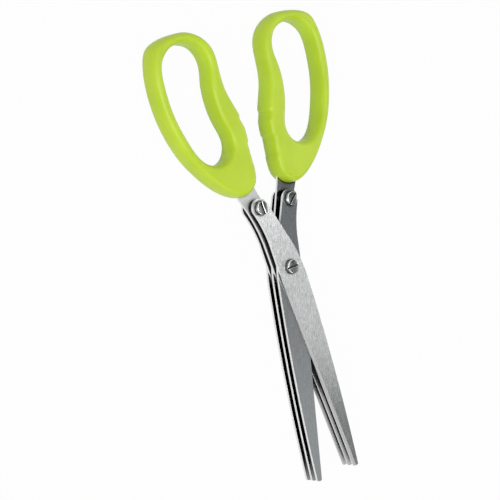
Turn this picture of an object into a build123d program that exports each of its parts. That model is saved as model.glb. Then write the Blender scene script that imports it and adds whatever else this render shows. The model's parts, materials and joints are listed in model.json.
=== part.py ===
from build123d import *
import os
from math import cos, radians, sin

# Herb scissors with three pairs of crossing blades, resting on their back.
# X is across, +Y runs from the pivot to the finger loops, -Y to the tips, +Z is up.
# The origin is on the pivot axis, level with the back of the handles, in millimetres.
# Half a has the top blade. Half b is the same half turned over about the Y axis, so both
# halves are drawn in one half frame: the pivot at 0, 0, the cutting edge on the -x side.

# Posture at rest: each half is turned this far from the middle line.
rest_half_angle = 9.9

# Blade stack: each half has one blade in every layer, and each layer is a pair of crossing blades
blade_layers = ("top", "middle", "bottom")
blade_thickness = 1.1
pair_gap = 1.2

# Blade outline in the half frame
blade_reach = 91.0
cutting_edge_offset = 6.7
tip_width = 2.3
tip_corner_radius = 0.7
heel_width = 12.9
heel_below_pivot = 8.0
neck_width = 11.7
neck_above_pivot = 9.5
spine_bow = 1.1
long_waist_inset = 0.5
short_waist_inset = 0.9
waist_above_pivot = 13.0
edge_start_below_pivot = 3.0

# Ground bevel along each cutting edge, on the outer side of its half
bevel_width = 1.0
bevel_depth = 0.7
bevel_run_out = 9.0

# Shank end, which carries the tang screw
tang_screw_along = 28.3
tang_screw_across = 3.9
shank_end_radius = 4.1
inner_flank_angle = 14.4
outer_flank_angle = 4.3
outer_flank_bow = 0.6

# Tang of the middle blade, moulded into the handle
tang_width = 9.9
tang_depth = 13.0
tang_end_width = 6.4
tang_corner_radius = 1.5
tang_key_radius = 1.4
tang_key_in_handle = 8.0
tang_axis_across = 5.4
flare_bow = 1.0

# Fasteners: a slotted screw from the front in a flanged barrel nut from the back
barrel_radius = 2.0
thread_radius = 1.25
thread_clearance = 0.02
fixed_clearance = 0.02
running_clearance = 0.05
head_overhang = 0.85
head_height = 1.85
head_edge_chamfer = 0.25
slot_width = 0.8
slot_depth = 1.0
back_head_height = 0.8
back_head_edge_chamfer = 0.25
barrel_short_of_head = 0.1
thread_length = 6.0
bore_past_thread = 0.8
spacer_wall = 1.0
pivot_slot_angle = 30.0
tang_a_slot_angle = 112.0
tang_b_slot_angle = 58.0

# Handle: its limbs are oval, because the edges are rounded deeper than they are wide. No rounding
# takes more than its share of the thinnest limb, beside the finger hole or past its far end.
handle_root = 35.2
handle_length = 72.8
handle_width = 35.6
handle_rounding_width = 2.1
handle_rounding_depth = 4.2
limb_across_share = 0.125
limb_along_share = 0.061
limb_rounding_share = 0.475

# One overrun for all cuts
overrun = 1.0

# Outlines of the handle and of its finger hole in the half frame: across as shares of the
# handle's width from the middle line, along as shares of its length from the root.
handle_outline_shares = [
    (-0.225, 0.989), (-0.463, 1.000), (-0.663, 0.977), (-0.787, 0.882), (-0.865, 0.725),
    (-0.876, 0.560), (-0.809, 0.375), (-0.646, 0.195), (-0.407, 0.048), (-0.211, 0.000),
    (-0.025, 0.037), (0.048, 0.128), (0.085, 0.240), (0.119, 0.341), (0.104, 0.464),
    (0.056, 0.595), (0.082, 0.732), (0.090, 0.838), (-0.022, 0.934),
]
finger_hole_shares = [
    (-0.258, 0.924), (-0.463, 0.930), (-0.635, 0.874), (-0.719, 0.746), (-0.742, 0.602),
    (-0.699, 0.437), (-0.598, 0.297), (-0.435, 0.238), (-0.258, 0.245), (-0.149, 0.308),
    (-0.163, 0.430), (-0.171, 0.553), (-0.118, 0.681), (-0.053, 0.787), (-0.118, 0.880),
]

# Grip steps cut across the inner side of the handle, from a notch to where the cut runs out
lower_step_shares = [(0.052, 0.155), (0.079, 0.264), (0.107, 0.281), (0.200, 0.281), (0.200, 0.155)]
upper_step_shares = [(0.119, 0.365), (0.101, 0.413), (0.117, 0.434), (0.200, 0.434), (0.200, 0.365)]

blade_pairs = len(blade_layers)
blade_pitch = 2 * blade_thickness + pair_gap
stack_height = blade_pitch * (blade_pairs - 1) + 2 * blade_thickness
stack_bottom = back_head_height
stack_top = stack_bottom + stack_height
handle_thickness = stack_height + 2 * back_head_height
hole_in_fixed_blade = barrel_radius + fixed_clearance
hole_in_turning_blade = barrel_radius + running_clearance
head_radius = barrel_radius + head_overhang
spacer_radius = hole_in_fixed_blade + spacer_wall
middle_layer = blade_pairs // 2
thinnest_limb = min(limb_across_share * handle_width, limb_along_share * handle_length)
tang_screw_place = (-tang_screw_across, tang_screw_along)


def half_plane(side, depth):
    """A plane of a half's own frame, at a depth below the half's own outer face of the stack."""
    turn = radians(rest_half_angle)
    if side == "a":
        return Plane(origin=(0, 0, stack_top - depth), x_dir=(cos(turn), sin(turn), 0), z_dir=(0, 0, 1))
    return Plane(origin=(0, 0, stack_bottom + depth), x_dir=(-cos(turn), sin(turn), 0), z_dir=(0, 0, -1))


def plane_across(base, along):
    """The plane square to a half at a distance along it; its y axis points into the stack."""
    return Plane(origin=base.from_local_coords(Vector(0, along, 0)), x_dir=base.x_dir, z_dir=base.y_dir)


def in_handle(shares):
    """Points of the half frame from shares of the handle's width and length."""
    return [(across * handle_width, handle_root + along * handle_length) for across, along in shares]


def blade_outline(long_blade):
    """The face of one blade in the half frame: a short one ends in a round shank, a long one in the tang."""
    edge = -cutting_edge_offset
    waist_inset = long_waist_inset if long_blade else short_waist_inset
    waist = (edge + waist_inset, waist_above_pivot)
    shank_arc = 180 - inner_flank_angle + outer_flank_angle
    with BuildSketch() as outline:
        with BuildLine():
            spine = SagittaArc(
                (edge + tip_width, -blade_reach), (edge + heel_width, -heel_below_pivot), -spine_bow
            )
            heel = TangentArc(spine @ 1, (edge + neck_width, neck_above_pivot), tangent=spine % 1)
            if long_blade:
                root = Polyline(
                    heel @ 1,
                    (-tang_axis_across + tang_width / 2, handle_root),
                    (-tang_axis_across + tang_end_width / 2, handle_root + tang_depth),
                    (-tang_axis_across - tang_end_width / 2, handle_root + tang_depth),
                    (-tang_axis_across - tang_width / 2, handle_root),
                )
                SagittaArc(root @ 1, waist, flare_bow)
            else:
                shank = CenterArc(tang_screw_place, shank_end_radius, inner_flank_angle, shank_arc)
                Line(heel @ 1, shank @ 0)
                SagittaArc(shank @ 1, waist, outer_flank_bow)
            Polyline(waist, (edge, -edge_start_below_pivot), (edge, -blade_reach), spine @ 0)
        make_face()
        tip_corners = outline.vertices().group_by(Axis.Y)[0]
        fillet(tip_corners, tip_corner_radius)
        if long_blade:
            tang_corners = outline.vertices().group_by(Axis.Y)[-1]
            fillet(tang_corners, tang_corner_radius)
            with Locations((-tang_axis_across, handle_root + tang_key_in_handle)):
                Circle(tang_key_radius, mode=Mode.SUBTRACT)
    return outline.sketch


def blade(side, layer):
    """One ground blade: a punched plate with its bevel on the outer side of its half."""
    outer_face = half_plane(side, layer * blade_pitch)
    pivot_hole = hole_in_fixed_blade if side == "a" else hole_in_turning_blade
    bevel_start = -edge_start_below_pivot - bevel_run_out
    slope = bevel_depth / bevel_width
    with BuildPart() as plate:
        with BuildSketch(outer_face):
            add(blade_outline(layer == middle_layer))
            Circle(pivot_hole, mode=Mode.SUBTRACT)
            with Locations(tang_screw_place):
                Circle(hole_in_fixed_blade, mode=Mode.SUBTRACT)
        extrude(amount=-blade_thickness)
        with BuildSketch(plane_across(outer_face, bevel_start)) as wedge:
            with BuildLine():
                Polyline(
                    (-cutting_edge_offset - overrun, -overrun * slope),
                    (-cutting_edge_offset - overrun, bevel_depth + overrun * slope),
                    (-cutting_edge_offset + bevel_width + overrun, -overrun * slope),
                    close=True,
                )
            make_face()
        extrude(wedge.sketch, amount=-blade_reach, mode=Mode.SUBTRACT)
        run_out = outer_face.y_dir * bevel_run_out - outer_face.x_dir * bevel_width
        extrude(wedge.sketch, amount=run_out.length, dir=run_out, mode=Mode.SUBTRACT)
    return plate.part


def handle_blank():
    """The oval-limbed ring of a handle, level about the origin: rounded while flat, then stretched in depth."""
    rounding = min(handle_rounding_width, limb_rounding_share * thinnest_limb)
    stretch = handle_rounding_depth / handle_rounding_width
    with BuildPart() as ring:
        with BuildSketch():
            with BuildLine():
                Spline(*in_handle(handle_outline_shares), periodic=True)
            make_face()
            with BuildLine():
                Spline(*in_handle(finger_hole_shares), periodic=True)
            make_face(mode=Mode.SUBTRACT)
        extrude(amount=handle_thickness / 2 / stretch, both=True)
        faces = ring.faces().filter_by(Axis.Z)
        fillet(faces.edges(), rounding)
        scale(by=(1, 1, stretch))
    return ring.part


def handle(side):
    """A moulded handle on a half's middle plane, with its grip steps and the pocket round the tang."""
    middle = half_plane(side, stack_height / 2)
    tang_face = half_plane(side, middle_layer * blade_pitch)
    blank = handle_blank()
    with BuildPart(middle) as grip:
        add(blank)
        for shares in (lower_step_shares, upper_step_shares):
            with BuildSketch(middle):
                with BuildLine():
                    Polyline(*in_handle(shares), close=True)
                make_face()
            extrude(amount=handle_thickness, both=True, mode=Mode.SUBTRACT)
        with BuildSketch(tang_face):
            add(blade_outline(True))
        extrude(amount=-blade_thickness, mode=Mode.SUBTRACT)
    return grip.part


def axis_of(side, place):
    """Where an axis square to the blades stands, from its place in a half frame."""
    point = half_plane(side, 0).from_local_coords(Vector(*place))
    return point.X, point.Y


def screw(centre, seat, slot_angle):
    """A cheese head screw: its head stands on a blade and its thread goes down into the barrel nut."""
    with BuildPart() as fastener:
        with BuildSketch(Plane(origin=(*centre, seat))):
            Circle(head_radius)
        extrude(amount=head_height)
        chamfer(fastener.edges().group_by(Axis.Z)[-1], head_edge_chamfer)
        with BuildSketch(Plane(origin=(*centre, seat))):
            Circle(thread_radius)
        extrude(amount=-thread_length)
        slot_floor = Plane(origin=(*centre, seat + head_height - slot_depth)).rotated((0, 0, slot_angle))
        with BuildSketch(slot_floor):
            Rectangle(2 * (head_radius + overrun), slot_width)
        extrude(amount=slot_depth + overrun, mode=Mode.SUBTRACT)
    return fastener.part


def barrel_nut(centre, front_seat, back_seat):
    """A flanged barrel: its flange is on the rearmost blade and its tube carries the whole stack."""
    tube_length = front_seat - back_seat - barrel_short_of_head
    with BuildPart() as nut:
        with BuildSketch(Plane(origin=(*centre, back_seat))):
            Circle(head_radius)
        extrude(amount=-back_head_height)
        chamfer(nut.edges().group_by(Axis.Z)[0], back_head_edge_chamfer)
        with BuildSketch(Plane(origin=(*centre, back_seat))):
            Circle(barrel_radius)
        extrude(amount=tube_length)
        with Locations((*centre, back_seat + tube_length)):
            Hole(thread_radius + thread_clearance, depth=thread_length + bore_past_thread)
    return nut.part


def sleeve(centre, bottom, height):
    """A spacer or washer round one of the barrels."""
    with BuildPart() as ring:
        with BuildSketch(Plane(origin=(*centre, bottom))):
            Circle(spacer_radius)
            Circle(hole_in_fixed_blade, mode=Mode.SUBTRACT)
        extrude(amount=height)
    return ring.part


def save(piece, name):
    """Label one finished piece and write it to its own file."""
    piece.label = name
    export_step(piece, f"parts/{name}.step")


os.makedirs("parts", exist_ok=True)

layers_from_outside = {"a": blade_layers, "b": blade_layers[::-1]}
tang_seats = {
    "a": (stack_top, stack_bottom + blade_thickness),
    "b": (stack_top - blade_thickness, stack_bottom),
}
slot_angles = {"a": tang_a_slot_angle, "b": tang_b_slot_angle}

for side in ("a", "b"):
    tang_axis = axis_of(side, tang_screw_place)
    front_seat, back_seat = tang_seats[side]
    for layer, layer_name in enumerate(layers_from_outside[side]):
        save(blade(side, layer), f"blade_{side}_{layer_name}")
    for level in range(1, blade_pairs):
        spacer_bottom = back_seat + blade_thickness + (level - 1) * blade_pitch
        save(sleeve(tang_axis, spacer_bottom, blade_pitch - blade_thickness), f"tang_spacer_{side}_{level}")
    save(handle(side), f"handle_{side}")
    save(screw(tang_axis, front_seat, slot_angles[side]), f"tang_screw_{side}")
    save(barrel_nut(tang_axis, front_seat, back_seat), f"tang_barrel_{side}")

pivot_axis = (0, 0)
for level in range(1, blade_pairs):
    save(sleeve(pivot_axis, stack_top - level * blade_pitch, pair_gap), f"pivot_washer_{level}")
save(screw(pivot_axis, stack_top, pivot_slot_angle), "pivot_screw")
save(barrel_nut(pivot_axis, stack_top, stack_bottom), "pivot_barrel")
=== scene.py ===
# %% [markdown]
# Herb scissors in Blender
#
# The scissors lie on their back on a white table: two moulded lime green handles, six steel
# blades in three crossing pairs, and three slotted screws that hold the stack together. The
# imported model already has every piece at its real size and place. This lesson gives each piece
# its finish, rounds the edges that a photograph would catch, and lights the whole like a
# product picture. Everything is in metres, so sizes in millimetres are multiplied by MM.

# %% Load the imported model
import json
from math import cos, pi, radians, sin

import bmesh
import bpy
import numpy as np
from mathutils import Matrix, Vector


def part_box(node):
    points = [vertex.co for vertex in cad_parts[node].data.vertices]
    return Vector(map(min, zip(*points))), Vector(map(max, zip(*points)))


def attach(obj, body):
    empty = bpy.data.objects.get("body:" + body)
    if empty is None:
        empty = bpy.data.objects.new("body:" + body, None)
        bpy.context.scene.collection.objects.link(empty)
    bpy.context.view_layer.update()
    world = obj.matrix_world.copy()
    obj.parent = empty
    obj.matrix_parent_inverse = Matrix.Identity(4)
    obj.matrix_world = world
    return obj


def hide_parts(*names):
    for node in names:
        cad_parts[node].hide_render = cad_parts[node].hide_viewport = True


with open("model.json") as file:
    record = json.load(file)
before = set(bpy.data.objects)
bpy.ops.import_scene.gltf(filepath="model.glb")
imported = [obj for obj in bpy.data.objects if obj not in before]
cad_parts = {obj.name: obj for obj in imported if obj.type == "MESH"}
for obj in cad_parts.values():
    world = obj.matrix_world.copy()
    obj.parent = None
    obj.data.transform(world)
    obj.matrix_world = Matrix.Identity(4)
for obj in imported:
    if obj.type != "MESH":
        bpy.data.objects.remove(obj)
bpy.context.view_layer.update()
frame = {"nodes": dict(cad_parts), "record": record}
MM = 0.001

# %% [markdown]
# The camera
#
# The picture was taken with a long lens from the left of the scissors and well above them, a
# little turned about its own axis. Three turns give that direction: a turn about the vertical,
# a tilt of the object away to the left, and a roll of the picture. The camera looks at a point
# of the table from a measured distance, so the perspective of the picture is repeated too.

# %% Camera
CAMERA_AIM = Vector((-11.41, 10.60, -0.20)) * MM
CAMERA_DISTANCE = 650.2 * MM
CAMERA_TURN = radians(11.03)
CAMERA_TILT = radians(37.77)
CAMERA_ROLL = radians(4.50)
SENSOR_WIDTH_MM = 36.0
LENS_MM = 112.36
NEAREST_SEEN = 10 * MM
FARTHEST_SEEN = 20.0

camera_data = bpy.data.cameras.new("camera")
camera_data.sensor_width = SENSOR_WIDTH_MM
camera_data.lens = LENS_MM
camera_data.clip_start = NEAREST_SEEN
camera_data.clip_end = FARTHEST_SEEN
camera = bpy.data.objects.new("camera", camera_data)
bpy.context.scene.collection.objects.link(camera)
to_picture = (
    Matrix.Rotation(CAMERA_ROLL, 3, "Z")
    @ Matrix.Rotation(CAMERA_TILT, 3, "Y")
    @ Matrix.Rotation(CAMERA_TURN, 3, "Z")
)
toward_camera = to_picture.row[2]
camera.matrix_world = (
    Matrix.Translation(CAMERA_AIM + CAMERA_DISTANCE * toward_camera)
    @ to_picture.transposed().to_4x4()
)
bpy.context.scene.camera = camera
bpy.context.scene.view_settings.view_transform = "Standard"
print("camera at mm:", [round(x / MM) for x in camera.matrix_world.translation])

# %% [markdown]
# Three small helpers
#
# Colours are written as the sRGB hex values that a picture editor shows, and one function turns
# them to the linear values that Blender works with. The next adds a node to a tree: its settings
# are attributes, each input is a plain value or the output that is linked to it, and a colour
# ramp has its stops too, each a place and a colour. The last starts an empty material.

# %% Colour and node helpers
def srgb(hex_code):
    """The linear colour of an sRGB hex code such as B8D632, by the sRGB standard's own curve."""
    shares = [int(hex_code[i:i + 2], 16) / 255 for i in (0, 2, 4)]
    linear = [c / 12.92 if c <= 0.04045 else ((c + 0.055) / 1.055) ** 2.4 for c in shares]
    return (*linear, 1.0)


def add_node(tree, kind, settings=None, inputs=None, stops=()):
    """One new node with its settings, its input values and links, and a ramp's stops."""
    made = tree.nodes.new(kind)
    for name, value in (settings or {}).items():
        setattr(made, name, value)
    for name, value in (inputs or {}).items():
        if isinstance(value, bpy.types.NodeSocket):
            tree.links.new(value, made.inputs[name])
        else:
            made.inputs[name].default_value = value
    for _ in stops[2:]:
        made.color_ramp.elements.new(0.5)
    for k, (place, colour) in enumerate(stops):
        made.color_ramp.elements[k].position = place
        made.color_ramp.elements[k].color = colour
    return made


def new_material(name):
    """An empty node material: its tree and its surface output."""
    made = bpy.data.materials.new(name)
    made.use_nodes = True
    made.node_tree.nodes.clear()
    output = made.node_tree.nodes.new("ShaderNodeOutputMaterial")
    return made, made.node_tree, output


print("middle grey is", round(srgb("808080")[0], 3), "of full light")

# %% [markdown]
# The stage
#
# The picture is a cut-out on white. A wide floor stands in for the table: what the camera and
# the polished metal see of it is mostly plain white, and the small share of real shading that is
# left keeps a faint shadow under the scissors, so that they lie on something. From below the
# floor is clear, which leaves the back of the scissors open to view. The floor throws no shadow
# itself. Further on, the steel is darkened by how much stands near it, and a floor without a
# shadow isn't counted there, so the underside of the blades doesn't turn black.

# %% Floor
FLOOR_SIZE = 8.0
FLOOR_DROP = 0.02 * MM
FLOOR_WHITE_SHARE = 0.97
FLOOR_GREY = srgb("C4C4C4")
PLAIN_WHITE = srgb("FFFFFF")


def seen_share(tree):
    """1 for what the camera sees, also by way of gloss or glass, and 0 for light on things."""
    rays = add_node(tree, "ShaderNodeLightPath")
    seen = add_node(tree, "ShaderNodeMath", {"operation": "ADD", "use_clamp": True},
                    {0: rays.outputs["Is Camera Ray"], 1: rays.outputs["Is Glossy Ray"]})
    seen = add_node(tree, "ShaderNodeMath", {"operation": "ADD", "use_clamp": True},
                    {0: seen.outputs[0], 1: rays.outputs["Is Transmission Ray"]})
    return seen.outputs[0]


floor_material, tree, output = new_material("white_paper_floor")
white_share = add_node(tree, "ShaderNodeMath", {"operation": "MULTIPLY"},
                       {0: seen_share(tree), 1: FLOOR_WHITE_SHARE})
paper = add_node(tree, "ShaderNodeBsdfDiffuse", None, {"Color": FLOOR_GREY})
white = add_node(tree, "ShaderNodeEmission", None, {"Color": PLAIN_WHITE, "Strength": 1.0})
lit = add_node(tree, "ShaderNodeMixShader", None,
               {0: white_share.outputs[0], 1: paper.outputs[0], 2: white.outputs[0]})
side = add_node(tree, "ShaderNodeNewGeometry")
clear = add_node(tree, "ShaderNodeBsdfTransparent")
surface = add_node(tree, "ShaderNodeMixShader", None,
                   {0: side.outputs["Backfacing"], 1: lit.outputs[0], 2: clear.outputs[0]})
tree.links.new(surface.outputs[0], output.inputs["Surface"])

half = FLOOR_SIZE / 2
floor_corners = [(-half, -half), (half, -half), (half, half), (-half, half)]
floor_mesh = bpy.data.meshes.new("floor")
floor_mesh.from_pydata([(x, y, -FLOOR_DROP) for x, y in floor_corners], [], [(0, 1, 2, 3)])
floor_mesh.materials.append(floor_material)
floor = bpy.data.objects.new("floor", floor_mesh)
bpy.context.scene.collection.objects.link(floor)
floor.visible_shadow = False
print("floor:", FLOOR_SIZE, "m wide, with", len(tree.nodes), "material nodes")

# %% [markdown]
# The world
#
# The studio round the scissors looks plain white, to the camera and in the steel. As a light it
# is only about half as strong, so that the lamps can give the handles their form.

# %% World
WORLD_LIGHT = 0.52

world = bpy.data.worlds.new("studio")
bpy.context.scene.world = world
world.use_nodes = True
tree = world.node_tree
tree.nodes.clear()
dim = add_node(tree, "ShaderNodeBackground", None, {"Color": PLAIN_WHITE, "Strength": WORLD_LIGHT})
white = add_node(tree, "ShaderNodeBackground", None, {"Color": PLAIN_WHITE, "Strength": 1.0})
mixed = add_node(tree, "ShaderNodeMixShader", None,
                 {0: seen_share(tree), 1: dim.outputs[0], 2: white.outputs[0]})
add_node(tree, "ShaderNodeOutputWorld", None, {"Surface": mixed.outputs[0]})
print("world light:", WORLD_LIGHT)

# %% [markdown]
# The lamps
#
# Four soft boxes light the scissors. One stands to the right, across the table from the camera,
# and its light slides over the level faces towards it. A large one hangs overhead, the strongest
# stands to the left, on the camera's side, and a weak one beyond the tips. Each stands in a
# direction from the scissors, given by its azimuth and its height in degrees. Each has the share
# of full white that it puts on paper facing it, because that is easier to judge than watts.

# %% Soft boxes
STAGE_DISTANCE = 1.1


def toward(azimuth, height):
    """The unit direction of an azimuth, counted from +X to +Y, and a height, both in degrees."""
    azimuth, height = radians(azimuth), radians(height)
    return Vector((cos(azimuth) * cos(height), sin(azimuth) * cos(height), sin(height)))


def facing_scissors(azimuth, height):
    """The matrix that stands a thing on the stage, with its front to the scissors."""
    direction = toward(azimuth, height)
    turned = direction.to_track_quat("Z", "Y").to_matrix().to_4x4()
    return Matrix.Translation(direction * STAGE_DISTANCE) @ turned


def soft_box(name, azimuth, height, size, share):
    """A square area lamp that gives paper facing it that share of full white."""
    data = bpy.data.lights.new(name, "AREA")
    data.shape = "SQUARE"
    data.size = size
    data.energy = share * pi ** 2 * STAGE_DISTANCE ** 2
    lamp = bpy.data.objects.new(name, data)
    bpy.context.scene.collection.objects.link(lamp)
    lamp.matrix_world = facing_scissors(azimuth, height)
    lamp.visible_camera = False
    print(name, "watts:", round(data.energy, 2))


soft_box("right_soft_box", azimuth=4, height=30, size=0.45, share=0.20)
soft_box("overhead_soft_box", azimuth=100, height=76, size=0.60, share=0.16)
soft_box("left_soft_box", azimuth=187, height=32, size=0.55, share=0.46)
soft_box("front_soft_box", azimuth=262, height=25, size=0.55, share=0.13)

# %% [markdown]
# The cards
#
# Steel shows what stands round it, and a white studio alone would leave it as pale as paper. So
# three bent cards stand where a photographer's flags would, to the right of the scissors, which
# is what level faces mirror towards the camera. The mirror card, shaded from pale to dark, is
# what a smooth blade mirrors. A satin blade mirrors a whole upright band of the studio. So a
# dark card beyond the tips darkens it towards its tip, and a grey card on the side of the
# handles tones down its other end. Only reflections see the cards.

# %% Cards
CARD_STEPS = 16
MIRROR_CARD_DISTANCE = 1.0
MIRROR_CARD_GREYS = ("C2C4C5", "B8BABB", "96989A", "76787A", "5A5C5D", "505253")
TIP_CARD_GREYS = ("121314", "121314")
HANDLE_CARD_GREYS = ("606263", "606263")


def card(name, azimuths, heights, distance, greys):
    """A bent card between two azimuths and two heights in degrees, shaded through its greys."""
    made, tree, output = new_material(name + "_paper")
    across = add_node(tree, "ShaderNodeUVMap", {"uv_map": "across"})
    parts = add_node(tree, "ShaderNodeSeparateXYZ", None, {0: across.outputs["UV"]})
    stops = [(k / (len(greys) - 1), srgb(grey)) for k, grey in enumerate(greys)]
    shade = add_node(tree, "ShaderNodeValToRGB", None, {"Fac": parts.outputs["X"]}, stops)
    glow = add_node(tree, "ShaderNodeEmission", None,
                    {"Color": shade.outputs["Color"], "Strength": 1.0})
    tree.links.new(glow.outputs[0], output.inputs["Surface"])
    row = CARD_STEPS + 1
    grid = [(i / CARD_STEPS, j / CARD_STEPS) for j in range(row) for i in range(row)]
    points = [toward(azimuths[0] + u * (azimuths[1] - azimuths[0]),
                     heights[0] + v * (heights[1] - heights[0])) * distance for u, v in grid]
    faces = [(j * row + i, j * row + i + 1, (j + 1) * row + i + 1, (j + 1) * row + i)
             for j in range(CARD_STEPS) for i in range(CARD_STEPS)]
    mesh = bpy.data.meshes.new(name)
    mesh.from_pydata(points, [], faces)
    layer = mesh.uv_layers.new(name="across")
    for loop in mesh.loops:
        layer.data[loop.index].uv = grid[loop.vertex_index]
    mesh.materials.append(made)
    stand = bpy.data.objects.new(name, mesh)
    bpy.context.scene.collection.objects.link(stand)
    stand.visible_camera = False
    stand.visible_diffuse = False
    stand.visible_transmission = False
    stand.visible_shadow = False
    print(name, "faces:", len(mesh.polygons))


card("mirror_card", (-36, 14), (44, 57), MIRROR_CARD_DISTANCE, MIRROR_CARD_GREYS)
card("tip_card", (-75, -22.2), (4, 86), STAGE_DISTANCE, TIP_CARD_GREYS)
card("handle_card", (1, 40), (20, 80), STAGE_DISTANCE, HANDLE_CARD_GREYS)

# %% [markdown]
# Moulded handle plastic
#
# The handles are injection moulded polypropylene in lime green with a satin gloss. Light
# spreads a little under the surface, so shaded sides stay yellow-green instead of going grey,
# and the polished mould leaves only a very fine unevenness that softens each highlight. Real
# mould grain is finer than a picture of this size can show, so it is drawn at 0.6 mm.

# %% Handle material
LIME_STOPS = ((0.35, srgb("B2CD24")), (0.65, srgb("BAD52E")))
FLOW_MARK_SIZE = 14 * MM
MOULD_GRAIN_SIZE = 0.6 * MM
MOULD_RELIEF_SHARE = 0.05
MOULD_RELIEF_DEPTH = 0.05 * MM
HANDLE_ROUGHNESS = (0.36, 0.44)
POLYPROPYLENE_IOR = 1.49
SPREAD_UNDER_SURFACE_SHARE = 0.15
SPREAD_UNDER_SURFACE = 1.0 * MM
SPREAD_OF_RED_GREEN_BLUE = (1.0, 1.0, 0.3)


def moulded_polypropylene():
    made, tree, output = new_material("moulded_lime_polypropylene")
    place = add_node(tree, "ShaderNodeTexCoord")
    flow = add_node(tree, "ShaderNodeTexNoise", None, {
        "Vector": place.outputs["Object"], "Scale": 1 / FLOW_MARK_SIZE, "Detail": 2.0})
    tint = add_node(tree, "ShaderNodeValToRGB", None, {"Fac": flow.outputs["Fac"]}, LIME_STOPS)
    grain = add_node(tree, "ShaderNodeTexNoise", None, {
        "Vector": place.outputs["Object"], "Scale": 1 / MOULD_GRAIN_SIZE, "Detail": 3.0})
    smoothest, roughest = HANDLE_ROUGHNESS
    gloss = add_node(tree, "ShaderNodeMapRange", None, {
        "Value": grain.outputs["Fac"], "To Min": smoothest, "To Max": roughest})
    relief = add_node(tree, "ShaderNodeBump", None, {
        "Height": grain.outputs["Fac"], "Strength": MOULD_RELIEF_SHARE,
        "Distance": MOULD_RELIEF_DEPTH})
    shader = add_node(tree, "ShaderNodeBsdfPrincipled", None, {
        "Base Color": tint.outputs["Color"], "Roughness": gloss.outputs["Result"],
        "Normal": relief.outputs["Normal"], "IOR": POLYPROPYLENE_IOR,
        "Subsurface Weight": SPREAD_UNDER_SURFACE_SHARE,
        "Subsurface Scale": SPREAD_UNDER_SURFACE,
        "Subsurface Radius": SPREAD_OF_RED_GREEN_BLUE})
    tree.links.new(shader.outputs[0], output.inputs["Surface"])
    print(made.name, "nodes:", len(tree.nodes))
    return made


HANDLE_PLASTIC = moulded_polypropylene()

# %% [markdown]
# The shade between the blades
#
# Hardly any light gets in between blades that lie so close over each other. An Ambient
# Occlusion node measures how open a face is, and a Map Range turns that to a share of its
# colour. Each finish has its own shade: how far the node looks, the openness at which the face
# is almost black, and the openness from which it is free.

# %% Shade of the gaps
FACE_SHADE = (8.0 * MM, 0.47, 0.66)
EDGE_SHADE = (8.0 * MM, 0.25, 0.45)
BEVEL_SHADE = (8.0 * MM, 0.66, 0.70)
COVERED_SHADE = (8.0 * MM, 0.49, 0.55)
CONTACT_SHADE = (1.2 * MM, 0.50, 1.0)
HEAD_SHADE = (1.0 * MM, 0.36, 0.80)
SHADE_FLOOR = 0.03
SHADE_SAMPLES = 16


def gap_shade(tree, reach, closed, opened):
    """1 on a free face, and almost 0 between two blades."""
    opening = add_node(tree, "ShaderNodeAmbientOcclusion", {"samples": SHADE_SAMPLES},
                       {"Distance": reach})
    return add_node(tree, "ShaderNodeMapRange", None, {
        "Value": opening.outputs["AO"], "From Min": closed, "From Max": opened,
        "To Min": SHADE_FLOOR, "To Max": 1.0}).outputs["Result"]


def darker(colour, share):
    """The colour, darker by a share."""
    return (*[c * (1 - share) for c in colour[:3]], 1.0)


print("a covered face is black up to", COVERED_SHADE[1], "and free from", COVERED_SHADE[2])

# %% [markdown]
# Blade steel
#
# The blades are stamped from stainless strip, and each face shows how it was made. The outer
# face of the top blade is satin brushed at a slant, which scatters light widely and looks
# bright. The other outer faces are dull as rolled, and so are less metallic here, which lets
# them show soft light as paper does. The inner faces, where the blades slide on each other, are
# ground much finer and mirror the cards. The bevels are fresh from the grinding wheel, and the
# blanked edges are bright. All five are one recipe: a stretched noise whose streaks follow the
# direction of the work, shown in roughness, relief and a slight tint. Real brush and wheel marks
# are only hundredths of a millimetre wide, so they are drawn about ten times as coarse to show.

# %% Steel materials
REST_HALF_ANGLE = radians(9.9)
BRUSHING_SLANT = radians(26)
HALF_TURN = {"half_a": REST_HALF_ANGLE, "half_b": -REST_HALF_ANGLE}
STREAK_SLANT = {"half_a": REST_HALF_ANGLE - BRUSHING_SLANT,
                "half_b": BRUSHING_SLANT - REST_HALF_ANGLE}
GRAIN_MAP = "grinding_direction"
STREAK_ROUGHNESS_SWING = 0.15
TOOL_MARK_DEPTH = 0.01 * MM


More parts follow.
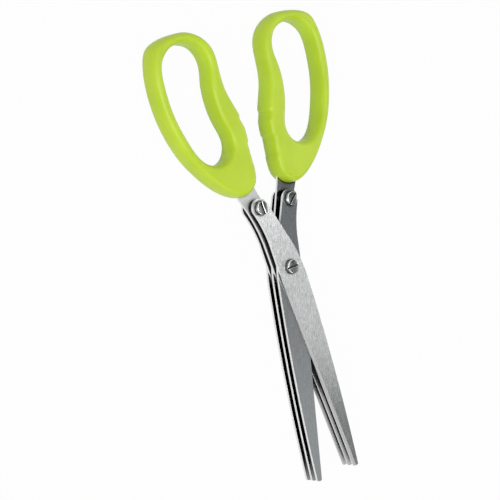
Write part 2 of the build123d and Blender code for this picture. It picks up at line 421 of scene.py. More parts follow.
def worked_steel(name, hex_code, roughness, tint_spread, angle, streak, relief_share,
                 anisotropy=0.0, metallic=1.0, shade=FACE_SHADE, contact=None):
    """Steel with streaks: their angle in the plane of the table, and their width and length."""
    made, tree, output = new_material(name)
    width, length = streak
    place = add_node(tree, "ShaderNodeTexCoord")
    along = add_node(tree, "ShaderNodeMapping", {"vector_type": "TEXTURE"}, {
        "Vector": place.outputs["Object"], "Rotation": (0, 0, angle),
        "Scale": (width, length, width)})
    streaks = add_node(tree, "ShaderNodeTexNoise", None, {
        "Vector": along.outputs["Vector"], "Scale": 1.0, "Detail": 3.0, "Roughness": 0.6})
    pale = srgb(hex_code)
    tint = add_node(tree, "ShaderNodeValToRGB", None, {"Fac": streaks.outputs["Fac"]},
                    ((0.3, darker(pale, tint_spread)), (0.7, pale)))
    shaded = add_node(tree, "ShaderNodeVectorMath", {"operation": "SCALE"}, {
        0: tint.outputs["Color"], "Scale": gap_shade(tree, *shade)})
    if contact:
        shaded = add_node(tree, "ShaderNodeVectorMath", {"operation": "SCALE"}, {
            0: shaded.outputs[0], "Scale": gap_shade(tree, *contact)})
    rough = add_node(tree, "ShaderNodeMapRange", None, {
        "Value": streaks.outputs["Fac"], "To Min": roughness * (1 - STREAK_ROUGHNESS_SWING),
        "To Max": roughness * (1 + STREAK_ROUGHNESS_SWING)})
    relief = add_node(tree, "ShaderNodeBump", None, {
        "Height": streaks.outputs["Fac"], "Strength": relief_share, "Distance": TOOL_MARK_DEPTH})
    shader = add_node(tree, "ShaderNodeBsdfPrincipled", None, {
        "Base Color": shaded.outputs[0], "Metallic": metallic,
        "Roughness": rough.outputs["Result"], "Normal": relief.outputs["Normal"]})
    if anisotropy:
        across = add_node(tree, "ShaderNodeTangent",
                          {"direction_type": "UV_MAP", "uv_map": GRAIN_MAP})
        shader.inputs["Anisotropic"].default_value = anisotropy
        tree.links.new(across.outputs[0], shader.inputs["Tangent"])
    tree.links.new(shader.outputs[0], output.inputs["Surface"])
    return made


BLADE_FINISH = {}
for body, turn in HALF_TURN.items():
    BLADE_FINISH[body] = {
        "outer": worked_steel(
            "satin_brushed_steel_" + body, "E6E8E8", roughness=0.225, tint_spread=0.36,
            angle=STREAK_SLANT[body], streak=(0.45 * MM, 2.2 * MM), relief_share=0.05,
            anisotropy=1.0, contact=CONTACT_SHADE),
        "covered": worked_steel(
            "rolled_steel_" + body, "D2D3D4", roughness=0.50, tint_spread=0.08,
            angle=turn, streak=(0.5 * MM, 5 * MM), relief_share=0.05,
            metallic=0.35, shade=COVERED_SHADE),
        "inner": worked_steel(
            "fine_ground_steel_" + body, "CDD0D0", roughness=0.14, tint_spread=0.16,
            angle=turn, streak=(0.6 * MM, 2.5 * MM), relief_share=0.02,
            contact=CONTACT_SHADE),
        "bevel": worked_steel(
            "wheel_ground_bevel_" + body, "B0B1B0", roughness=0.30, tint_spread=0.10,
            angle=turn + pi / 2, streak=(0.4 * MM, 3 * MM), relief_share=0.15,
            shade=BEVEL_SHADE),
        "edge": worked_steel(
            "blanked_steel_edge_" + body, "E8E9E8", roughness=0.35, tint_spread=0.10,
            angle=turn, streak=(2.0 * MM, 3 * MM), relief_share=0.10,
            shade=EDGE_SHADE),
    }
    print(body, "finishes:", ", ".join(BLADE_FINISH[body]))

# %% [markdown]
# Blades
#
# The stamped plate is right as it is in the model, with its outline, holes and bevel. What it
# lacks is the tiny rounding that every real edge has: without it no edge catches the light.
# Each blade is a copy of the model's plate, merged to one skin, with its flat faces cleaned. Its
# faces are sorted into outer, covered, inner, bevel and edge, and a Bevel modifier rounds its
# edges. A Weighted Normal modifier then keeps the flat faces looking flat beside the rounding.

# %% Skins and modifiers
WELD_DISTANCE = 0.0005 * MM
FLAT_ENOUGH = radians(0.3)
EDGE_ROUND = 0.025 * MM
EDGE_SEGMENTS = 2
EDGE_ANGLE = radians(25)
FLAT_FACE_WEIGHT = 100


def welded(node):
    """The node's mesh as one skin, because the model's triangles come loose."""
    skin = bmesh.new()
    skin.from_mesh(frame["nodes"][node].data)
    bmesh.ops.remove_doubles(skin, verts=skin.verts, dist=WELD_DISTANCE)
    return skin


def merged_copy(node, name):
    """A new object with the node's mesh as one clean skin."""
    skin = welded(node)
    bmesh.ops.dissolve_limit(skin, angle_limit=FLAT_ENOUGH, verts=skin.verts, edges=skin.edges)
    mesh = bpy.data.meshes.new(name)
    skin.to_mesh(mesh)
    skin.free()
    obj = bpy.data.objects.new(name, mesh)
    bpy.context.scene.collection.objects.link(obj)
    return obj


def keep_modified(obj):
    """Turns the object's modifiers into plain mesh and removes them."""
    evaluated = obj.evaluated_get(bpy.context.evaluated_depsgraph_get())
    mesh = bpy.data.meshes.new_from_object(evaluated)
    obj.modifiers.clear()
    obj.data = mesh
    return obj


def round_edges(obj):
    """A small rounding on every sharp edge, with the faces between kept flat."""
    bevel = obj.modifiers.new("edge_rounding", "BEVEL")
    bevel.width = EDGE_ROUND
    bevel.segments = EDGE_SEGMENTS
    bevel.limit_method = "ANGLE"
    bevel.angle_limit = EDGE_ANGLE
    bevel.miter_outer = "MITER_ARC"
    keep_modified(obj)
    obj.data.shade_smooth()
    flat = obj.modifiers.new("flat_faces_stay_flat", "WEIGHTED_NORMAL")
    flat.mode = "FACE_AREA"
    flat.weight = FLAT_FACE_WEIGHT
    keep_modified(obj)


# %% Blade pieces
FINISH_ORDER = ("outer", "covered", "inner", "bevel", "edge")
LEVEL_FROM = 0.99
BEVEL_FROM = 0.5


def map_grain(obj, angle):
    """A UV map whose U runs square to the streaks, so that highlights spread that way."""
    layer = obj.data.uv_layers.new(name=GRAIN_MAP)
    across = Vector((cos(angle), sin(angle)))
    along = Vector((-sin(angle), cos(angle)))
    for loop in obj.data.loops:
        point = obj.data.vertices[loop.vertex_index].co.xy / MM
        layer.data[loop.index].uv = (point.dot(across), point.dot(along))


def blade_face_finish(normal, outward, on_top):
    """Which finish a blade's face has, from its direction."""
    toward_outside = normal.z * outward
    if toward_outside > LEVEL_FROM:
        return "outer" if on_top else "covered"
    if toward_outside < -LEVEL_FROM:
        return "inner"
    return "bevel" if toward_outside > BEVEL_FROM else "edge"


def make_blade(node, body):
    outward = 1 if body == "half_a" else -1
    piece = merged_copy(node, node + "_ground")
    for finish in FINISH_ORDER:
        piece.data.materials.append(BLADE_FINISH[body][finish])
    for face in piece.data.polygons:
        face.material_index = FINISH_ORDER.index(
            blade_face_finish(face.normal, outward, node == "blade_a_top"))
    round_edges(piece)
    map_grain(piece, STREAK_SLANT[body])
    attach(piece, body)
    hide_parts(node)
    print(piece.name, "faces:", len(piece.data.polygons))


nodes_of_body = frame["record"]["behaviour"]["bodies"]
body_of_node = {node: body for body, nodes in nodes_of_body.items() for node in nodes}
for node, body in sorted(body_of_node.items()):
    if node.startswith("blade_"):
        make_blade(node, body)

# %% [markdown]
# Handles
#
# Each handle is one closed ring of plastic round its finger hole, widest at the spade where the
# tang goes in. Its section is nearly an ellipse, with the width of the limb and the depth of the
# handle. The ring follows the model: a plane close to its middle cuts out its outline and its
# hole, and every section between them gets the same rule. The grip steps on the inner side are
# part of the outline, so they come along by themselves.

# %% Outline and hole of a handle from the model
CUT_OFF_MIDDLE = 0.3 * MM
CUT_TOLERANCE = 0.0001 * MM


def loop_length(points):
    return np.linalg.norm(np.roll(points, -1, 0) - points, axis=1).sum()


def in_order(points):
    """A loop's points counterclockwise from its lowest one, so that each run is the same."""
    x, y = points[:, 0], points[:, 1]
    area = (x * np.roll(y, -1) - y * np.roll(x, -1)).sum()
    points = points if area > 0 else points[::-1]
    lowest = np.lexsort((points[:, 0], points[:, 1]))[0]
    return np.roll(points, -lowest, 0)


def cut_loops(node, height):
    """The loops that a level plane cuts from a node, longest first, as arrays of x and y."""
    skin = welded(node)
    cut = bmesh.ops.bisect_plane(skin, geom=skin.verts[:] + skin.edges[:] + skin.faces[:],
                                 dist=CUT_TOLERANCE, plane_co=(0, 0, height), plane_no=(0, 0, 1))
    edges = {e for e in cut["geom_cut"] if isinstance(e, bmesh.types.BMEdge)}
    loops = []
    while edges:
        edge = edges.pop()
        chain = [edge.verts[0], edge.verts[1]]
        while onward := [e for e in chain[-1].link_edges if e in edges]:
            edges.discard(onward[0])
            chain.append(onward[0].other_vert(chain[-1]))
        loops.append(in_order(np.array([v.co[:2] for v in chain[:-1]])))
    skin.free()
    return sorted(loops, key=loop_length, reverse=True)


def outline_and_hole(node, away):
    """A handle's two loops near its middle, and the heights of its middle and its top."""
    low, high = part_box(node)
    middle = (low.z + high.z) / 2
    outline, hole = cut_loops(node, middle + away * CUT_OFF_MIDDLE)[:2]
    return outline, hole, middle, high.z


AWAY_FROM_MIDDLE = {"handle_a": -1, "handle_b": 1}
for node, away in AWAY_FROM_MIDDLE.items():
    for loop in outline_and_hole(node, away)[:2]:
        print(node, "loop of", len(loop), "points,", round(loop_length(loop) / MM, 1), "mm round")

# %% [markdown]
# Points and directions along a loop
#
# The ring is built section by section, so both loops are walked in even steps, and each step
# needs the direction that points away from the loop's inside. Over a corner that direction would
# jump, so the loop is averaged a little before it is measured.

# %% Even points and their outward directions
RING_SECTIONS = 540
SMOOTHING = 2.5 * MM


def along_loop(points, places):
    """Points of a closed loop at distances along it."""
    closed = np.vstack([points, points[:1]])
    steps = np.linalg.norm(np.diff(closed, axis=0), axis=1)
    at = np.concatenate([[0], np.cumsum(steps)])
    places = np.mod(places, at[-1])
    return np.stack([np.interp(places, at, closed[:, i]) for i in (0, 1)], 1)


def evenly(points, count):
    return along_loop(points, np.arange(count) * loop_length(points) / count)


def smoothed(points, width):
    """A closed loop of evenly spaced points, averaged over a width along it."""
    reach = max(1, int(width / (loop_length(points) / len(points)) / 2))
    weights = np.hanning(2 * reach + 3)[1:-1]
    weights /= weights.sum()
    shifts = range(-reach, reach + 1)
    return sum(w * np.roll(points, k, 0) for w, k in zip(weights, shifts))


def outward_normals(points, width):
    """Unit normals of a counterclockwise loop that point away from its inside."""
    smooth = smoothed(points, width)
    along = np.roll(smooth, -1, 0) - np.roll(smooth, 1, 0)
    normals = np.stack([along[:, 1], -along[:, 0]], 1)
    return normals / np.linalg.norm(normals, axis=1)[:, None]


for node, away in AWAY_FROM_MIDDLE.items():
    hole = outline_and_hole(node, away)[1]
    print(node, "sections stand", round(loop_length(hole) / RING_SECTIONS / MM, 2), "mm apart")

# %% [markdown]
# Sections round the ring
#
# Evenly spaced points of the hole each look straight outwards to the outline. These lines never
# cross, because the hole is round enough, and each carries one section of the ring. A section
# that comes close to a corner of a grip step is moved onto it, so that the step stays crisp.

# %% Matching the hole to the outline
STEP_CORNER_TURN = radians(20)


def where_rays_meet(starts, directions, loop):
    """The distance along a loop at which each ray first meets it."""
    ends = np.roll(loop, -1, 0)
    sides = ends - loop
    lengths = np.linalg.norm(sides, axis=1)
    begins = np.concatenate([[0], np.cumsum(lengths)[:-1]])
    found = []
    for start, direction in zip(starts, directions):
        cross = direction[0] * sides[:, 1] - direction[1] * sides[:, 0]
        offset = loop - start
        with np.errstate(divide="ignore", invalid="ignore"):
            reach = (offset[:, 0] * sides[:, 1] - offset[:, 1] * sides[:, 0]) / cross
            share = (offset[:, 0] * direction[1] - offset[:, 1] * direction[0]) / cross
        hit = (reach > 0) & (share >= 0) & (share <= 1)
        nearest = np.argmin(np.where(hit, reach, np.inf))
        found.append(begins[nearest] + share[nearest] * lengths[nearest])
    return np.array(found)


def step_corners(loop):
    """Distances along a loop at which it turns sharply, as at the grip steps."""
    before = loop - np.roll(loop, 1, 0)
    after = np.roll(loop, -1, 0) - loop
    turn = np.arctan2(before[:, 0] * after[:, 1] - before[:, 1] * after[:, 0],
                      (before * after).sum(1))
    at = np.concatenate([[0], np.cumsum(np.linalg.norm(after, axis=1))[:-1]])
    return at[np.abs(turn) > STEP_CORNER_TURN]


def matched_sections(outline, hole):
    """For each section: its point on the outline, its point on the hole and both normals."""
    inner = evenly(hole, RING_SECTIONS)
    inner_normals = outward_normals(inner, SMOOTHING)
    places = where_rays_meet(inner, inner_normals, outline)
    for corner in step_corners(outline):
        places[np.argmin(np.abs(places - corner))] = corner
    outer = along_loop(outline, places)
    even_normals = outward_normals(evenly(outline, RING_SECTIONS), SMOOTHING)
    pick = np.rint(places / loop_length(outline) * RING_SECTIONS).astype(int) % RING_SECTIONS
    return outer, even_normals[pick], inner, inner_normals


for node, away in AWAY_FROM_MIDDLE.items():
    print(node, "corners of grip steps:", len(step_corners(outline_and_hole(node, away)[0])))

# %% [markdown]
# The section rule
#
# From the outline a section climbs like a quarter of an ellipse, crosses to the hole almost
# level, and comes down the same way. In a thin limb the two quarters meet, and the limb is
# nearly oval. At the spade they are far apart and leave a flat face. A power a little above two
# makes the ellipse fuller, as moulded handles are.

# %% The rows of points along the ring
ROUNDING_WIDTH = 2.5 * MM
ROUNDING_DEPTH = 5.0 * MM
ROUNDING_LIMIT_SHARE = 0.47
ROUNDING_POWER = 2.2
ROUNDING_ROWS = 12
FACE_ROWS = 8


def rounded_rim(points, inwards, width, half_depth):
    """Rows of points from a loop up to the crest of its rim, each with its height."""
    rows = []
    for k in range(ROUNDING_ROWS + 1):
        angle = pi / 2 * k / ROUNDING_ROWS
        inset = width * (1 - cos(angle) ** (2 / ROUNDING_POWER))
        lift = half_depth - ROUNDING_DEPTH * (1 - sin(angle) ** (2 / ROUNDING_POWER))
        rows.append((points + inwards * inset, lift))
    return rows


def rows_over_ring(outline, hole, half_depth):
    """The rows from the outline over the top to the hole, and the thinnest wall between them."""
    outer, outer_normals, inner, inner_normals = matched_sections(outline, hole)
    walls = np.linalg.norm(outer - inner, axis=1)
    width = np.minimum(ROUNDING_WIDTH, ROUNDING_LIMIT_SHARE * walls)[:, None]
    rising = rounded_rim(outer, -outer_normals, width, half_depth)
    falling = rounded_rim(inner, inner_normals, width, half_depth)[::-1]
    crest_outer, crest_inner = rising[-1][0], falling[0][0]
    across = [k / FACE_ROWS for k in range(1, FACE_ROWS)]
    face = [(crest_outer * (1 - share) + crest_inner * share, half_depth) for share in across]
    return rising + face + falling, walls.min()


# %% Handle pieces
HANDLE_SHARP_ANGLE = radians(40)


def ring_mesh(name, rows, middle):
    """A closed ring through the rows above the middle and their mirror image below it."""
    upper = [np.column_stack([flat, np.full(len(flat), middle + lift)]) for flat, lift in rows]
    lower = [np.column_stack([flat, np.full(len(flat), middle - lift)])
             for flat, lift in reversed(rows)]
    section = np.stack(upper + lower, 1)
    count, tall = section.shape[:2]
    faces = [
        (i * tall + j, (i + 1) % count * tall + j,
         (i + 1) % count * tall + (j + 1) % tall, i * tall + (j + 1) % tall)
        for i in range(count) for j in range(tall)
    ]
    mesh = bpy.data.meshes.new(name)
    mesh.from_pydata(section.reshape(-1, 3).tolist(), [], faces)
    return mesh


def make_handle(node, body, away):
    outline, hole, middle, top = outline_and_hole(node, away)
    rows, thinnest = rows_over_ring(outline, hole, top - middle)
    mesh = ring_mesh(node + "_moulded", rows, middle)
    mesh.materials.append(HANDLE_PLASTIC)
    skin = bmesh.new()
    skin.from_mesh(mesh)
    bmesh.ops.recalc_face_normals(skin, faces=skin.faces)
    skin.to_mesh(mesh)
    skin.free()
    mesh.shade_smooth()
    mesh.set_sharp_from_angle(angle=HANDLE_SHARP_ANGLE)
    piece = bpy.data.objects.new(node + "_moulded", mesh)
    bpy.context.scene.collection.objects.link(piece)
    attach(piece, body)
    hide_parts(node)
    print(piece.name, "faces:", len(mesh.polygons), "thinnest wall mm:", round(thinnest / MM, 2))


for node, away in AWAY_FROM_MIDDLE.items():
    make_handle(node, body_of_node[node], away)

# %% [markdown]
# Screws
#
# The three slotted screws are alike: a cheese head, turned and nickel plated, on a threaded
# shank that is hidden in its barrel nut. What repeats is a task for Geometry Nodes. A point
# stands for each screw on its seat, with the angle at which the driver left its slot. The tree
# turns a head from a rectangle with one rounded corner, cuts the slot, winds the thread round
# the shank as a wave on a cylinder, and puts a copy on each point.

# %% A tree with named inputs
TURNING_STEPS = 64
MERGE_DISTANCE = 0.001 * MM


def new_tree(name, numbers):
    """An empty Geometry Nodes tree with a number input for each name, and a material input."""
    tree = bpy.data.node_groups.new(name, "GeometryNodeTree")
    tree.interface.new_socket("Geometry", in_out="OUTPUT", socket_type="NodeSocketGeometry")
    tree.interface.new_socket("Geometry", in_out="INPUT", socket_type="NodeSocketGeometry")
    for number in numbers:
        tree.interface.new_socket(number, in_out="INPUT", socket_type="NodeSocketFloat")
    tree.interface.new_socket("Material", in_out="INPUT", socket_type="NodeSocketMaterial")
    return tree, add_node(tree, "NodeGroupInput").outputs


def turned(tree, section, radius):
    """A section curve, drawn about a circle of that radius, turned once round the z axis."""
    circle = add_node(tree, "GeometryNodeCurvePrimitiveCircle", {"mode": "RADIUS"}, {
        "Resolution": TURNING_STEPS, "Radius": radius})
    wound = add_node(tree, "GeometryNodeCurveToMesh", None, {
        "Curve": circle.outputs[0], "Profile Curve": section})
    merged = add_node(tree, "GeometryNodeMergeByDistance", None, {
        "Geometry": wound.outputs[0], "Distance": MERGE_DISTANCE})
    sides = add_node(tree, "GeometryNodeInputMeshEdgeNeighbors")
    bare = add_node(tree, "FunctionNodeCompare", {"data_type": "INT", "operation": "EQUAL"},
                    {2: sides.outputs[0]})
    return add_node(tree, "GeometryNodeDeleteGeometry", {"domain": "EDGE", "mode": "EDGE_FACE"}, {
        "Geometry": merged.outputs[0], "Selection": bare.outputs[0]}).outputs[0]


def place_copies(tree, given, shape):
    """Ends the tree with copies of the shape on its points, turned by their angle, as real mesh."""
    angle = add_node(tree, "GeometryNodeInputNamedAttribute", {"data_type": "FLOAT"},
                     {"Name": "angle"})
    euler = add_node(tree, "ShaderNodeCombineXYZ", None, {"Z": angle.outputs["Attribute"]})
    turn = add_node(tree, "FunctionNodeEulerToRotation", None, {"Euler": euler.outputs[0]})
    copies = add_node(tree, "GeometryNodeInstanceOnPoints", None, {
        "Points": given["Geometry"], "Instance": shape, "Rotation": turn.outputs[0]})
    real = add_node(tree, "GeometryNodeRealizeInstances", None, {"Geometry": copies.outputs[0]})
    shaded = add_node(tree, "GeometryNodeSetShadeSmooth", None, {"Geometry": real.outputs[0]})
    finished = add_node(tree, "GeometryNodeSetMaterial", None, {
        "Geometry": shaded.outputs[0], "Material": given["Material"]})
    add_node(tree, "NodeGroupOutput", None, {0: finished.outputs[0]})


print("a full turn takes", TURNING_STEPS, "steps")

# %% [markdown]
# The slotted head
#
# A lathe turns the head, so the tree winds its section round a circle: a rectangle as wide as
# the radius, with only its outer top corner rounded. The slot is sawn afterwards, by a Boolean
# with a bar across the head, and a bar that stands on its edge breaks the slot's sharp corners.

# %% The head's nodes
EDGE_STEPS = 4
TOP_OUTER_CORNER = 3
CORNER_TOLERANCE = 0.5
CUTTER_LENGTH_SHARE = 3.0


def slotted_head(tree, given):
    """The nodes of a disc with a rounded top and a chamfered slot, standing on z = 0."""
    section = add_node(tree, "GeometryNodeCurvePrimitiveQuadrilateral", {"mode": "RECTANGLE"}, {
        "Width": given["Head Radius"], "Height": given["Head Height"]})
    corner = add_node(tree, "GeometryNodeInputIndex")
    outer = add_node(tree, "ShaderNodeMath", {"operation": "COMPARE"}, {
        0: corner.outputs[0], 1: TOP_OUTER_CORNER, 2: CORNER_TOLERANCE})
    rounding = add_node(tree, "ShaderNodeMath", {"operation": "MULTIPLY"}, {
        0: given["Edge Radius"], 1: outer.outputs[0]})
    rounded = add_node(tree, "GeometryNodeFilletCurve", {"mode": "POLY"}, {
        "Curve": section.outputs[0], "Count": EDGE_STEPS, "Radius": rounding.outputs[0]})
    half_radius = add_node(tree, "ShaderNodeMath", {"operation": "MULTIPLY"}, {
        0: given["Head Radius"], 1: 0.5})
    half_height = add_node(tree, "ShaderNodeMath", {"operation": "MULTIPLY"}, {
        0: given["Head Height"], 1: 0.5})
    up = add_node(tree, "ShaderNodeCombineXYZ", None, {"Z": half_height.outputs[0]})
    disc = add_node(tree, "GeometryNodeTransform", None, {
        "Geometry": turned(tree, rounded.outputs[0], half_radius.outputs[0]),
        "Translation": up.outputs[0]})

    length = add_node(tree, "ShaderNodeMath", {"operation": "MULTIPLY"}, {
        0: given["Head Radius"], 1: CUTTER_LENGTH_SHARE})
    twice_depth = add_node(tree, "ShaderNodeMath", {"operation": "MULTIPLY"}, {
        0: given["Slot Depth"], 1: 2.0})
    size = add_node(tree, "ShaderNodeCombineXYZ", None, {
        "X": length.outputs[0], "Y": given["Slot Width"], "Z": twice_depth.outputs[0]})
    bar = add_node(tree, "GeometryNodeMeshCube", None, {"Size": size.outputs[0]})
    top = add_node(tree, "ShaderNodeCombineXYZ", None, {"Z": given["Head Height"]})
    bar = add_node(tree, "GeometryNodeTransform", None, {
        "Geometry": bar.outputs[0], "Translation": top.outputs[0]})

    half_opening = add_node(tree, "ShaderNodeMath", {"operation": "MULTIPLY_ADD"}, {
        0: given["Slot Width"], 1: 0.5, 2: given["Slot Chamfer"]})
    wedge_side = add_node(tree, "ShaderNodeMath", {"operation": "MULTIPLY"}, {
        0: half_opening.outputs[0], 1: 2 ** 0.5})
    size = add_node(tree, "ShaderNodeCombineXYZ", None, {
        "X": length.outputs[0], "Y": wedge_side.outputs[0], "Z": wedge_side.outputs[0]})
    wedge = add_node(tree, "GeometryNodeMeshCube", None, {"Size": size.outputs[0]})
    wedge = add_node(tree, "GeometryNodeTransform", None, {
        "Geometry": wedge.outputs[0], "Translation": top.outputs[0],
        "Rotation": (radians(45), 0, 0)})
    head = add_node(tree, "GeometryNodeMeshBoolean",
                    {"operation": "DIFFERENCE", "solver": "EXACT"},
                    {"Mesh 1": disc.outputs[0], "Mesh 2": bar.outputs[0]})
    tree.links.new(wedge.outputs[0], head.inputs["Mesh 2"])
    return head.outputs[0]


print("the rounded corner has", EDGE_STEPS, "steps")

# %% [markdown]
# The thread
#
# A thread is a groove that winds down the shank. On a cylinder with many rings, each point is
# moved inwards by a zigzag of its height, and the zigzag is shifted by the share of a turn at
# which the point stands. One turn then shifts it by exactly one pitch, and the groove winds.

# %% The whole screw
THREAD_RINGS_PER_TURN = 8


def wound_thread(tree, given):
    """The nodes of a threaded shank that hangs down from z = 0."""
    turns = add_node(tree, "ShaderNodeMath", {"operation": "DIVIDE"}, {
        0: given["Thread Length"], 1: given["Thread Pitch"]})
    rings = add_node(tree, "ShaderNodeMath", {"operation": "MULTIPLY"}, {
        0: turns.outputs[0], 1: THREAD_RINGS_PER_TURN})
    shank = add_node(tree, "GeometryNodeMeshCylinder", None, {
        "Vertices": TURNING_STEPS // 2, "Side Segments": rings.outputs[0],
        "Radius": given["Thread Radius"], "Depth": given["Thread Length"]})
    place = add_node(tree, "GeometryNodeInputPosition")
    x, y, z = add_node(tree, "ShaderNodeSeparateXYZ", None, {0: place.outputs[0]}).outputs
    round_angle = add_node(tree, "ShaderNodeMath", {"operation": "ARCTAN2"}, {0: y, 1: x})
    round_share = add_node(tree, "ShaderNodeMath", {"operation": "DIVIDE"}, {
        0: round_angle.outputs[0], 1: 2 * pi})
    pitches = add_node(tree, "ShaderNodeMath", {"operation": "DIVIDE"}, {
        0: z, 1: given["Thread Pitch"]})
    shifted = add_node(tree, "ShaderNodeMath", {"operation": "SUBTRACT"}, {
        0: pitches.outputs[0], 1: round_share.outputs[0]})
    zigzag = add_node(tree, "ShaderNodeMath", {"operation": "PINGPONG"}, {
        0: shifted.outputs[0], 1: 0.5})
    depth_share = add_node(tree, "ShaderNodeMath", {"operation": "DIVIDE"}, {
        0: given["Thread Depth"], 1: given["Thread Radius"]})
    groove = add_node(tree, "ShaderNodeMath", {"operation": "MULTIPLY"}, {
        0: zigzag.outputs[0], 1: -2.0})
    inward = add_node(tree, "ShaderNodeMath", {"operation": "MULTIPLY"}, {
        0: groove.outputs[0], 1: depth_share.outputs[0]})
    inward_x = add_node(tree, "ShaderNodeMath", {"operation": "MULTIPLY"}, {
        0: x, 1: inward.outputs[0]})
    inward_y = add_node(tree, "ShaderNodeMath", {"operation": "MULTIPLY"}, {
        0: y, 1: inward.outputs[0]})
    offset = add_node(tree, "ShaderNodeCombineXYZ", None, {
        "X": inward_x.outputs[0], "Y": inward_y.outputs[0]})
    thread = add_node(tree, "GeometryNodeSetPosition", None, {
        "Geometry": shank.outputs["Mesh"], "Offset": offset.outputs[0]})
    half_down = add_node(tree, "ShaderNodeMath", {"operation": "MULTIPLY"}, {
        0: given["Thread Length"], 1: -0.5})
    down = add_node(tree, "ShaderNodeCombineXYZ", None, {"Z": half_down.outputs[0]})
    return add_node(tree, "GeometryNodeTransform", None, {
        "Geometry": thread.outputs[0], "Translation": down.outputs[0]}).outputs[0]


def slotted_screw_tree():
    tree, given = new_tree("slotted_screws", (
        "Head Radius", "Head Height", "Edge Radius", "Slot Width", "Slot Depth", "Slot Chamfer",
        "Thread Radius", "Thread Depth", "Thread Pitch", "Thread Length"))
    head = slotted_head(tree, given)
    thread = wound_thread(tree, given)
    whole = add_node(tree, "GeometryNodeJoinGeometry")
    tree.links.new(head, whole.inputs[0])
    tree.links.new(thread, whole.inputs[0])
    place_copies(tree, given, whole.outputs[0])
    return tree


SCREW_TREE = slotted_screw_tree()
print("screw tree nodes:", len(SCREW_TREE.nodes))

# %% [markdown]
# Turned and plated steel
#
# A turned head carries fine rings from the lathe tool, and nickel plating over them is bright
# and a little warm. The spacers and barrel nuts are turned from the same bar: the nuts are
# plated too, and the spacers are left duller. Real tool marks are about a tenth of a millimetre
# wide, so they are drawn coarser to show. A ramp on the slope of a face paints shade on each
# head: its level top is painted darker, so that it looks greyer than its rounded edge, and its
# upright wall too, because a bright wall would mirror a lamp twice where it meets the blade, as
# a white spark.

# %% Screw and spacer materials
TOOL_MARK_SIZE = 0.5 * MM
TOOL_MARK_SPREAD = 0.12
TOOL_MARK_ROUGHNESS_SWING = 0.2
# Painted shade on walls fades out between the two wall slopes of a face's normal, and painted shade
# on level tops fades in between the two level slopes.
PAINTED_SHADE_WALL_SLOPES = (0.05, 0.30)
PAINTED_SHADE_LEVEL_SLOPES = (0.90, 0.98)


def turned_steel(name, hex_code, roughness, relief_share, shade=FACE_SHADE,
                 painted_shade_level_share=1.0, painted_shade_wall_share=1.0):
    """Turned steel whose level faces and upright walls are darkened by painted shade."""
    made, tree, output = new_material(name)
    place = add_node(tree, "ShaderNodeTexCoord")
    grain = add_node(tree, "ShaderNodeTexNoise", None, {
        "Vector": place.outputs["Object"], "Scale": 1 / TOOL_MARK_SIZE, "Detail": 2.0})
    pale = srgb(hex_code)
    tint = add_node(tree, "ShaderNodeValToRGB", None, {"Fac": grain.outputs["Fac"]},
                    ((0.35, darker(pale, TOOL_MARK_SPREAD)), (0.65, pale)))
    facing = add_node(tree, "ShaderNodeNewGeometry")
    facing = add_node(tree, "ShaderNodeSeparateXYZ", None, {0: facing.outputs["Normal"]})
    # Painted shade by slope: walls and level tops keep only their share of the colour.
    slopes = (*PAINTED_SHADE_WALL_SLOPES, *PAINTED_SHADE_LEVEL_SLOPES)
    kept = (painted_shade_wall_share, 1.0, 1.0, painted_shade_level_share)
    painted_shade_by_slope = add_node(tree, "ShaderNodeValToRGB", None, {"Fac": facing.outputs["Z"]},
                        [(slope, (k, k, k, 1.0)) for slope, k in zip(slopes, kept)])
    shares = add_node(tree, "ShaderNodeMath", {"operation": "MULTIPLY"}, {
        0: painted_shade_by_slope.outputs["Color"], 1: gap_shade(tree, *shade)})
    shaded = add_node(tree, "ShaderNodeVectorMath", {"operation": "SCALE"}, {
        0: tint.outputs["Color"], "Scale": shares.outputs[0]})
    relief = add_node(tree, "ShaderNodeBump", None, {
        "Height": grain.outputs["Fac"], "Strength": relief_share, "Distance": TOOL_MARK_DEPTH})
    rough = add_node(tree, "ShaderNodeMapRange", None, {
        "Value": grain.outputs["Fac"], "To Min": roughness * (1 - TOOL_MARK_ROUGHNESS_SWING),
        "To Max": roughness * (1 + TOOL_MARK_ROUGHNESS_SWING)})
    shader = add_node(tree, "ShaderNodeBsdfPrincipled", None, {
        "Base Color": shaded.outputs[0], "Metallic": 1.0,
        "Roughness": rough.outputs["Result"], "Normal": relief.outputs["Normal"]})
    tree.links.new(shader.outputs[0], output.inputs["Surface"])
    print(made.name, "nodes:", len(tree.nodes))
    return made


# The screw heads get painted shade on their level tops and upright walls.
NICKEL_PLATE = turned_steel("nickel_plated_screw", "F4F5F5", roughness=0.16, relief_share=0.25,
                            shade=HEAD_SHADE, painted_shade_level_share=0.42, painted_shade_wall_share=0.35)
TURNED_STEEL = turned_steel("turned_spacer_steel", "A9ABAC", roughness=0.32, relief_share=0.20)

# %% [markdown]
# Screws on their seats
#
# Each head stands on the seat that it has in the model, and its slot points where the driver
# left it. The pivot screw and one tang screw belong to the one half, and the other tang screw to
# the other half, so the tree runs once for each half and makes one mesh that moves with it.

# %% Screw pieces
HEAD_HEIGHT = 1.85 * MM
HEAD_EDGE = 0.30 * MM
SLOT_WIDTH = 0.8 * MM
SLOT_DEPTH = 0.8 * MM
SLOT_CHAMFER = 0.07 * MM
THREAD_RADIUS = 1.25 * MM
THREAD_DEPTH = 0.15 * MM
THREAD_PITCH = 0.5 * MM
SCREW_SHARP_ANGLE = radians(30)
SLOT_ANGLE = {"pivot_screw": radians(2), "tang_screw_a": radians(98), "tang_screw_b": radians(41)}


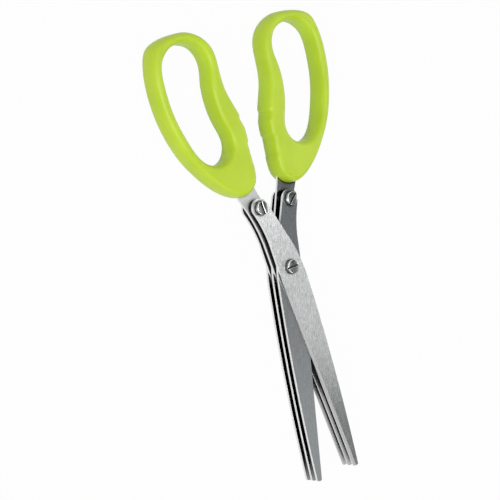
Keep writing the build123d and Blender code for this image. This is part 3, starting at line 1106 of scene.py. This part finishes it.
def set_inputs(modifier, values):
    """Gives the modifier its inputs by name, through the sockets' identifiers."""
    for item in modifier.node_group.interface.items_tree:
        if item.in_out == "INPUT" and item.name in values:
            modifier[item.identifier] = values[item.name]


def from_tree(name, tree, places, angles, values):
    """A plain mesh that the tree makes on points at the places, turned by the angles."""
    seats = bpy.data.meshes.new(name)
    seats.from_pydata(places, [], [])
    angle = seats.attributes.new("angle", "FLOAT", "POINT")
    angle.data.foreach_set("value", angles)
    made = bpy.data.objects.new(name, seats)
    bpy.context.scene.collection.objects.link(made)
    modifier = made.modifiers.new(tree.name, "NODES")
    modifier.node_group = tree
    set_inputs(modifier, values)
    return keep_modified(made)


def make_screws(name, body, nodes):
    boxes = [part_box(node) for node in nodes]
    places = [((low.x + high.x) / 2, (low.y + high.y) / 2, high.z - HEAD_HEIGHT)
              for low, high in boxes]
    low, high = boxes[0]
    screws = from_tree(name, SCREW_TREE, places, [SLOT_ANGLE[node] for node in nodes], {
        "Head Radius": (high.x - low.x) / 2, "Head Height": HEAD_HEIGHT, "Edge Radius": HEAD_EDGE,
        "Slot Width": SLOT_WIDTH, "Slot Depth": SLOT_DEPTH, "Slot Chamfer": SLOT_CHAMFER,
        "Thread Radius": THREAD_RADIUS, "Thread Depth": THREAD_DEPTH, "Thread Pitch": THREAD_PITCH,
        "Thread Length": high.z - low.z - HEAD_HEIGHT, "Material": NICKEL_PLATE})
    screws.data.set_sharp_from_angle(angle=SCREW_SHARP_ANGLE)
    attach(screws, body)
    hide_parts(*nodes)
    print(name, "faces:", len(screws.data.polygons))


make_screws("slotted_screws_a", "half_a", ["pivot_screw", "tang_screw_a"])
make_screws("slotted_screw_b", "half_b", ["tang_screw_b"])

# %% [markdown]
# Barrel nuts, spacers and washers
#
# These small turned rings are right as they are in the model, and little of them shows between
# the blades and from the back. So they keep their own mesh, and only get their finish.

# %% Finish of the small turned pieces
for node in body_of_node:
    if "barrel" in node or "spacer" in node or "washer" in node:
        node_slots = frame["nodes"][node].material_slots
        for node_slot in node_slots:
            node_slot.material = NICKEL_PLATE if "barrel" in node else TURNED_STEEL
        print(node, "material slots:", len(node_slots))
